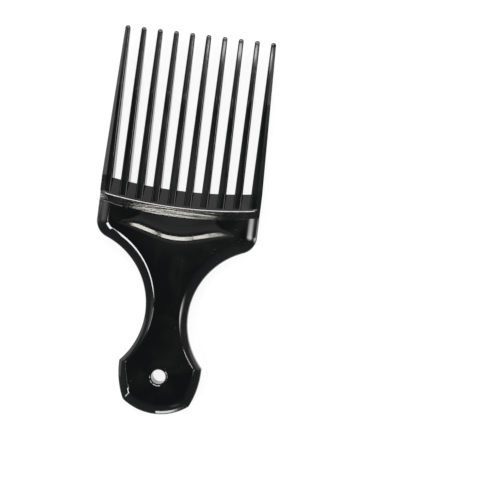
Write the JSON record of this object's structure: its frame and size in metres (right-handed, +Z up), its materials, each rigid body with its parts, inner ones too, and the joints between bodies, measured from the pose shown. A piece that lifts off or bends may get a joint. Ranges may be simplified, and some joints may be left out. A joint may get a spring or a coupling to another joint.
{
  "type": "afro pick",
  "caption": "Glossy black plastic lift comb: long tapered teeth on a bowed bar, a waisted handle with a sloping rim, and a hanging hole.",
  "frame": {"origin": "middle of the pick's outline, on the plane it lies on with its back down", "axes": "+Y along the teeth towards their tips, +Z up out of the front face, +X across the head to the right"},
  "size_m": [0.057, 0.1356, 0.0084],
  "materials": {
    "handle_plastic": "polished black moulding",
    "bar_plastic": "polished black moulding, slightly wavy",
    "tooth_plastic": "polished black moulding"
  },
  "bodies": {
    "root": {"handle": "handle_plastic", "tooth_bar": "bar_plastic", "tooth_01": "tooth_plastic", "tooth_02": "tooth_plastic", "tooth_03": "tooth_plastic", "tooth_04": "tooth_plastic", "tooth_05": "tooth_plastic", "tooth_06": "tooth_plastic", "tooth_07": "tooth_plastic", "tooth_08": "tooth_plastic", "tooth_09": "tooth_plastic", "tooth_10": "tooth_plastic"}
  },
  "joints": []
}
